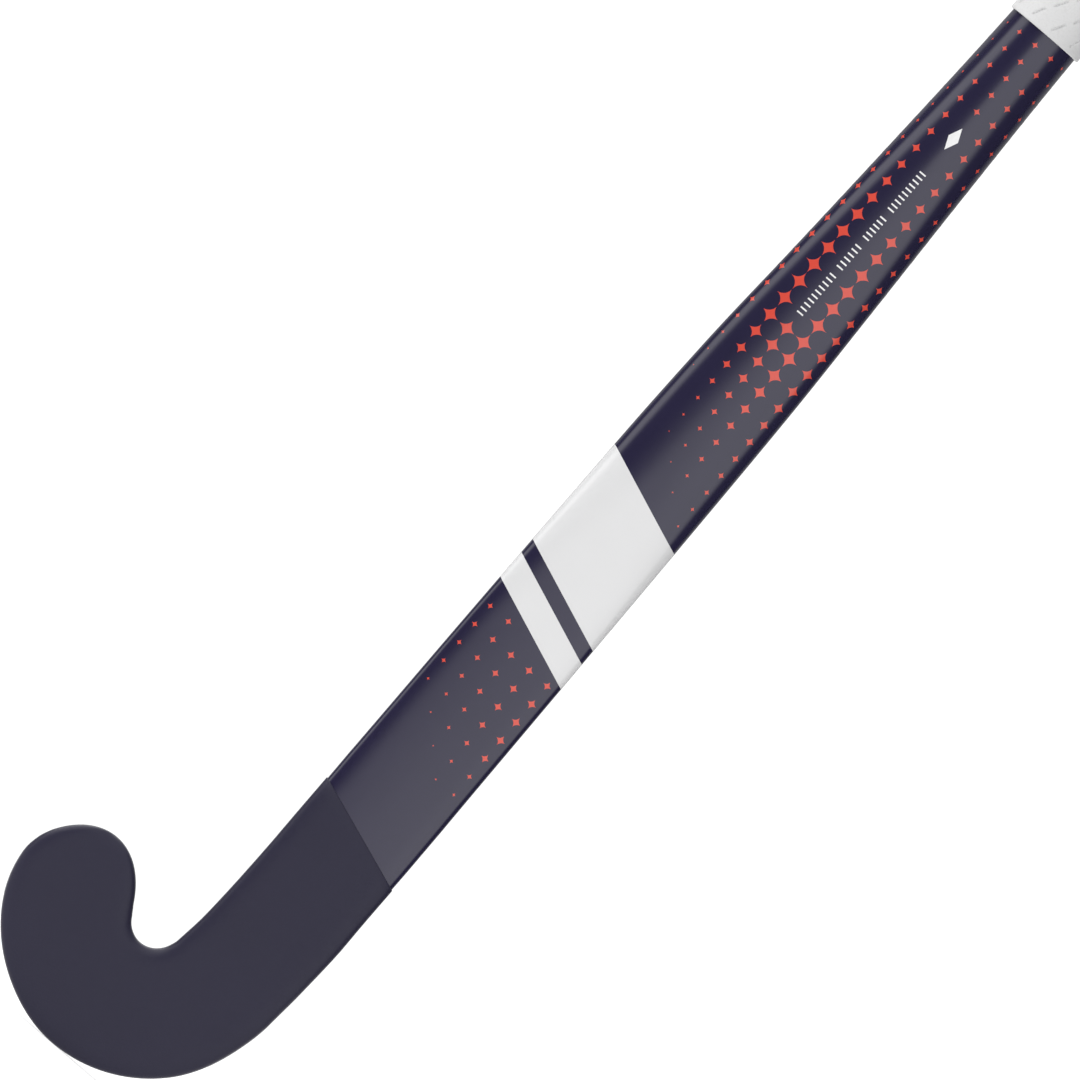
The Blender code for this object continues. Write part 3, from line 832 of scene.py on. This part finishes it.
class Shading:
    """A material's nodes: a Principled shader with uniform values, and patterns in object space."""

    def __init__(self, name, **values):
        self.material = bpy.data.materials.new(name)
        self.material.use_nodes = True
        self.tree = self.material.node_tree
        self.shader = self.tree.nodes["Principled BSDF"]
        for socket, value in values.items():
            self.shader.inputs[socket.replace("_", " ")].default_value = value
        self.place = self.tree.nodes.new("ShaderNodeTexCoord").outputs["Object"]

    def node(self, kind, inputs=None, **settings):
        made = self.tree.nodes.new(kind)
        for name, value in settings.items():
            setattr(made, name, value)
        for socket, value in (inputs or {}).items():
            if isinstance(value, bpy.types.NodeSocket):
                self.tree.links.new(value, made.inputs[socket])
            else:
                made.inputs[socket].default_value = value
        return made

    def noise(self, per_metre, detail):
        inputs = {"Vector": self.place, "Scale": per_metre, "Detail": detail}
        return self.node("ShaderNodeTexNoise", inputs).outputs["Fac"]

    def cells(self, per_metre):
        inputs = {"Vector": self.place, "Scale": per_metre}
        return self.node("ShaderNodeTexVoronoi", inputs).outputs["Distance"]

    def spread(self, value, low, high, start=0.3, end=0.7):
        inputs = {"Value": value, "From Min": start, "From Max": end, "To Min": low, "To Max": high}
        return self.node("ShaderNodeMapRange", inputs).outputs["Result"]

    def mix(self, share, first, second):
        made = self.node("ShaderNodeMix", data_type="RGBA")
        self.tree.links.new(share, made.inputs[0])
        for socket, value in ((made.inputs[6], first), (made.inputs[7], second)):
            if isinstance(value, bpy.types.NodeSocket):
                self.tree.links.new(value, socket)
            else:
                socket.default_value = (*value, 1.0)
        return made.outputs[2]

    def colour(self, value):
        self.tree.links.new(value, self.shader.inputs["Base Color"])

    def roughness(self, value):
        self.tree.links.new(value, self.shader.inputs["Roughness"])

    def bump(self, *layers):
        """Layers of (height, depth in metres), from the coarsest."""
        below = None
        for height, depth in layers:
            inputs = {"Height": height, "Distance": depth, "Strength": 1.0}
            if below is not None:
                inputs["Normal"] = below
            below = self.node("ShaderNodeBump", inputs).outputs["Normal"]
        self.tree.links.new(below, self.shader.inputs["Normal"])


def tinted(colour, share):
    return tuple(channel * share for channel in colour)


def lacquered(name, colour, variation=0.05):
    """Ink or paint under a clear lacquer, with faint flow marks and fine wear."""
    made = Shading(name, IOR=1.5)
    patches = made.spread(made.noise(60.0, 4.0), 0.0, 1.0)
    fine = made.spread(made.noise(4000.0, 1.0), 0.0, 1.0)
    base = made.mix(patches, tinted(colour, 1 - variation), tinted(colour, 1 + variation))
    made.colour(made.mix(fine, base, colour))
    made.roughness(made.spread(made.noise(500.0, 3.0), 0.075, 0.12))
    made.bump((made.noise(120.0, 1.0), 0.00002))
    return made.material


def matte_coat():
    """The coat's skin, with a fine grain."""
    made = Shading("matte_coat", IOR=1.45, Specular_IOR_Level=0.26)
    patches = made.spread(made.noise(45.0, 5.0), 0.0, 1.0)
    grain = made.spread(made.noise(2600.0, 2.0), 0.0, 1.0, 0.25, 0.75)
    base = made.mix(patches, tinted(COAT_GREY, 0.96), tinted(COAT_GREY, 1.04))
    made.colour(made.mix(grain, base, tinted(COAT_GREY, 1.12)))
    made.roughness(made.spread(made.noise(300.0, 3.0), 0.34, 0.42))
    made.bump((made.noise(900.0, 2.0), 0.00003), (made.noise(3500.0, 1.0), 0.00002))
    return made.material


def soft_grip(name, colour):
    """Polyurethane chamois, with a fine pebbled grain."""
    made = Shading(name, IOR=1.45, Sheen_Weight=0.1)
    grain = made.cells(1300.0)
    patches = made.spread(made.noise(35.0, 4.0), 0.0, 1.0)
    base = made.mix(patches, tinted(colour, 0.97), tinted(colour, 1.02))
    made.colour(made.mix(made.spread(grain, 0.0, 1.0, 0.5, 1.0), base, tinted(colour, 0.93)))
    made.roughness(made.spread(made.noise(250.0, 3.0), 0.42, 0.55))
    made.bump((made.noise(200.0, 2.0), 0.00006), (grain, 0.00004))
    return made.material


def rubber():
    made = Shading("cap_rubber", IOR=1.5)
    patches = made.spread(made.noise(80.0, 5.0), 0.0, 1.0)
    made.colour(made.mix(patches, RUBBER_GREY, tinted(RUBBER_GREY, 1.6)))
    made.roughness(made.spread(made.noise(400.0, 3.0), 0.5, 0.7))
    made.bump((made.noise(1800.0, 2.0), 0.00003))
    return made.material


def foam(name, colour, cells_per_metre):
    made = Shading(name, Roughness=0.9, IOR=1.4)
    bubbles = made.cells(cells_per_metre)
    share = made.spread(bubbles, 0.0, 1.0, 0.2, 0.9)
    made.colour(made.mix(share, tinted(colour, 1.05), tinted(colour, 0.7)))
    made.bump((bubbles, 0.0004))
    return made.material


def woven(name, warp, weft, per_metre, roughness):
    """Cloth in two directions, as a fine check with raised yarns."""
    made = Shading(name, IOR=1.5, Roughness=roughness)
    inputs = {"Vector": made.place, "Scale": per_metre}
    check = made.node("ShaderNodeTexChecker", inputs).outputs["Fac"]
    fibres = made.spread(made.noise(per_metre * 6, 2.0), 0.0, 1.0)
    first, second = (made.mix(fibres, yarn, tinted(yarn, 0.8)) for yarn in (warp, weft))
    made.colour(made.mix(check, first, second))
    made.bump((check, 0.00008), (fibres, 0.00003))
    return made.material


def finish_inside(frame):
    """Materials for the pieces inside, which keep their CAD shapes."""
    carbon = woven("carbon_weave", (0.012, 0.012, 0.014), (0.045, 0.045, 0.05), 450.0, 0.4)
    aramid = woven("aramid_weave", (0.66, 0.50, 0.13), (0.50, 0.36, 0.09), 500.0, 0.55)
    glass = woven("glass_weave", (0.66, 0.70, 0.64), (0.50, 0.54, 0.50), 600.0, 0.4)
    tape = woven("underlay_weave", (0.56, 0.56, 0.53), (0.44, 0.44, 0.42), 900.0, 0.8)
    finishes = {
        "head_core": foam("core_foam", (0.62, 0.50, 0.32), 700.0),
        "handle_foam": foam("handle_filler", (0.70, 0.62, 0.42), 500.0),
        "foam_stop": foam("stop_foam", (0.16, 0.15, 0.16), 900.0),
        "face_patch": glass,
        "heel_patch": aramid,
        "crook_patch": aramid,
        "toe_side_tube": carbon,
        "heel_side_tube": carbon,
        "grip_underlay": tape,
        "butt_plug": rubber(),
    }
    for name, material in finishes.items():
        frame["nodes"][name].material_slots[0].material = material


# The studio

# Angle round the stick from the way that its face looks, positive towards the heel side, and brightness
AROUND = (
    (-180, 0.36),
    (-150, 0.38),
    (-140, 0.5),
    (-133, 0.48),
    (-126, 0.38),
    (-119, 0.12),
    (-100, 0.05),
    (-94, 0.45),
    (-88, 1.55),
    (-82, 2.05),
    (-68, 2.05),
    (-60, 1.0),
    (-53, 0.15),
    (-45, 0.02),
    (-28, 0.02),
    (-20, 0.1),
    (-13, 0.28),
    (-8, 0.55),
    (-4, 0.98),
    (-1, 1.36),
    (2, 1.58),
    (8, 1.75),
    (16, 1.82),
    (45, 1.82),
    (52, 1.6),
    (60, 0.72),
    (66, 0.12),
    (74, 0.0),
    (112, 0.0),
    (124, 0.25),
    (140, 0.38),
    (180, 0.34),
)
BRIGHTEST = 2.1
BAND_ELEVATION = (18.0, 26.0)  # degrees above and below the horizon between which the lights fade out
ABOVE, ABOVE_TURN = 1.4, 2.0  # brightness overhead, and how much less of it comes from the heel side
ABOVE_LEAST = 0.3
BELOW = 1.0
BACKGROUND = 1.1


class WorldNodes(Shading):
    def __init__(self, world):
        self.tree = world.node_tree
        self.place = self.tree.nodes.new("ShaderNodeTexCoord").outputs["Generated"]

    def math(self, operation, first, second=0.0):
        return self.node("ShaderNodeMath", {0: first, 1: second}, operation=operation).outputs[0]


def build_studio():
    """A white room, with a wide softbox towards the heel side and a strip light towards the toe side."""
    world = bpy.data.worlds.new("studio")
    bpy.context.scene.world = world
    world.use_nodes = True
    nodes = WorldNodes(world)
    parts = nodes.node("ShaderNodeSeparateXYZ", {0: nodes.place}).outputs
    backwards = nodes.math("MULTIPLY", parts["Y"], -1.0)
    turn = nodes.math("ARCTAN2", parts["X"], backwards)
    share = nodes.math("ADD", nodes.math("DIVIDE", turn, 2 * math.pi), 0.5)
    ramp = nodes.node("ShaderNodeValToRGB", {"Fac": share})
    stops = ramp.color_ramp.elements
    while len(stops) < len(AROUND):
        stops.new(1.0)
    for stop, (angle, brightness) in zip(stops, AROUND):
        stop.position = angle / 360 + 0.5
        stop.color = (brightness / BRIGHTEST,) * 3 + (1.0,)
    around = nodes.math("MULTIPLY", ramp.outputs["Color"], BRIGHTEST)
    low, high = (math.sin(math.radians(angle)) for angle in BAND_ELEVATION)
    above = nodes.math("SUBTRACT", ABOVE, nodes.math("MULTIPLY", parts["X"], ABOVE_TURN))
    above = nodes.math("MAXIMUM", above, ABOVE_LEAST)
    upper = nodes.spread(parts["Z"], 0.0, 1.0, low, high)
    lower = nodes.spread(parts["Z"], 1.0, 0.0, -high, -low)
    mixed = nodes.node("ShaderNodeMix", {0: upper, 2: around, 3: above}, data_type="FLOAT").outputs[0]
    mixed = nodes.node("ShaderNodeMix", {0: lower, 2: mixed, 3: BELOW}, data_type="FLOAT").outputs[0]
    seen = nodes.node("ShaderNodeLightPath").outputs["Is Camera Ray"]
    mixed = nodes.node("ShaderNodeMix", {0: seen, 2: mixed, 3: BACKGROUND}, data_type="FLOAT").outputs[0]
    background = world.node_tree.nodes["Background"]
    world.node_tree.links.new(mixed, background.inputs["Color"])


FLOOR_RADIUS = 1.6
FLOOR_GREYS = ((0.49, 0.49, 0.49), (0.51, 0.51, 0.51))
FLOOR_GLOW = 0.65


def build_floor(lowest):
    """A pale disc under the stick, which glows a little so that it is as white as the room."""
    place = (0, 0, lowest)
    bpy.ops.mesh.primitive_circle_add(vertices=128, radius=FLOOR_RADIUS, fill_type="NGON", location=place)
    floor = bpy.context.object
    floor.name = "floor"
    glow = {"Emission_Color": (1.0, 1.0, 1.0, 1.0), "Emission_Strength": FLOOR_GLOW}
    made = Shading("pale_floor", Roughness=0.9, IOR=1.3, **glow)
    made.colour(made.mix(made.spread(made.noise(6.0, 3.0), 0.0, 1.0), *FLOOR_GREYS))
    floor.data.materials.append(made.material)


VIEW_WIDTH = 407.5  # what the picture spans at the stick
VIEW_MIDDLE = (-20.0, 263.7)  # x and height of its middle
VIEW_DISTANCE = 12000.0
STICK_LEAN = 49.34  # degrees from the picture's bottom edge to the stick
SENSOR_WIDTH = 36.0


def build_camera():
    """Square on to the face, and turned so that the handle rises to the upper right."""
    data = bpy.data.cameras.new("camera")
    data.sensor_width = SENSOR_WIDTH
    data.lens = SENSOR_WIDTH * VIEW_DISTANCE / VIEW_WIDTH
    data.clip_start, data.clip_end = 0.1, 100.0
    camera = bpy.data.objects.new("camera", data)
    bpy.context.scene.collection.objects.link(camera)
    lean = math.radians(STICK_LEAN)
    right = Vector((math.sin(lean), 0, math.cos(lean)))
    up = Vector((-math.cos(lean), 0, math.sin(lean)))
    turned = Matrix((right, up, right.cross(up))).transposed()
    place = to_frame((VIEW_MIDDLE[0], -VIEW_DISTANCE, VIEW_MIDDLE[1]))
    camera.matrix_world = Matrix.Translation(Vector(place)) @ turned.to_4x4()
    bpy.context.scene.camera = camera
    bpy.context.scene.view_settings.view_transform = "Standard"


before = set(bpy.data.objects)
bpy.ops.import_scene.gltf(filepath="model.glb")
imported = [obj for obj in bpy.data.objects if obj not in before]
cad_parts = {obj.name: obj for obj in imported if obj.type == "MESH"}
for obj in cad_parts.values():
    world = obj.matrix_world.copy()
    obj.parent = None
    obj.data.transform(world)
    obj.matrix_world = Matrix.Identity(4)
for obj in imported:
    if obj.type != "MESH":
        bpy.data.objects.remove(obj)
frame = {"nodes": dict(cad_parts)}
cad_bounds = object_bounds()

build_body(lacquered("navy_lacquer", NAVY))
skin = Skin(PRINT_BOTTOM, PRINT_TOP)
print_stars(skin).piece("printed_stars", lacquered("coral_ink", CORAL))
print_bands(skin).piece("printed_bands", lacquered("white_ink", WHITE, WHITE_VARIATION))
print_marks(skin).piece("printed_marks", lacquered("bright_ink", BRIGHT_WHITE, WHITE_VARIATION))
build_coat(matte_coat())
build_collar(soft_grip("collar_grip", COLLAR_WHITE))
build_strip(soft_grip("strip_grip", STRIP_WHITE))
build_cap(rubber())
finish_inside(frame)

build_studio()
build_floor(cad_bounds[0].z)
build_camera()
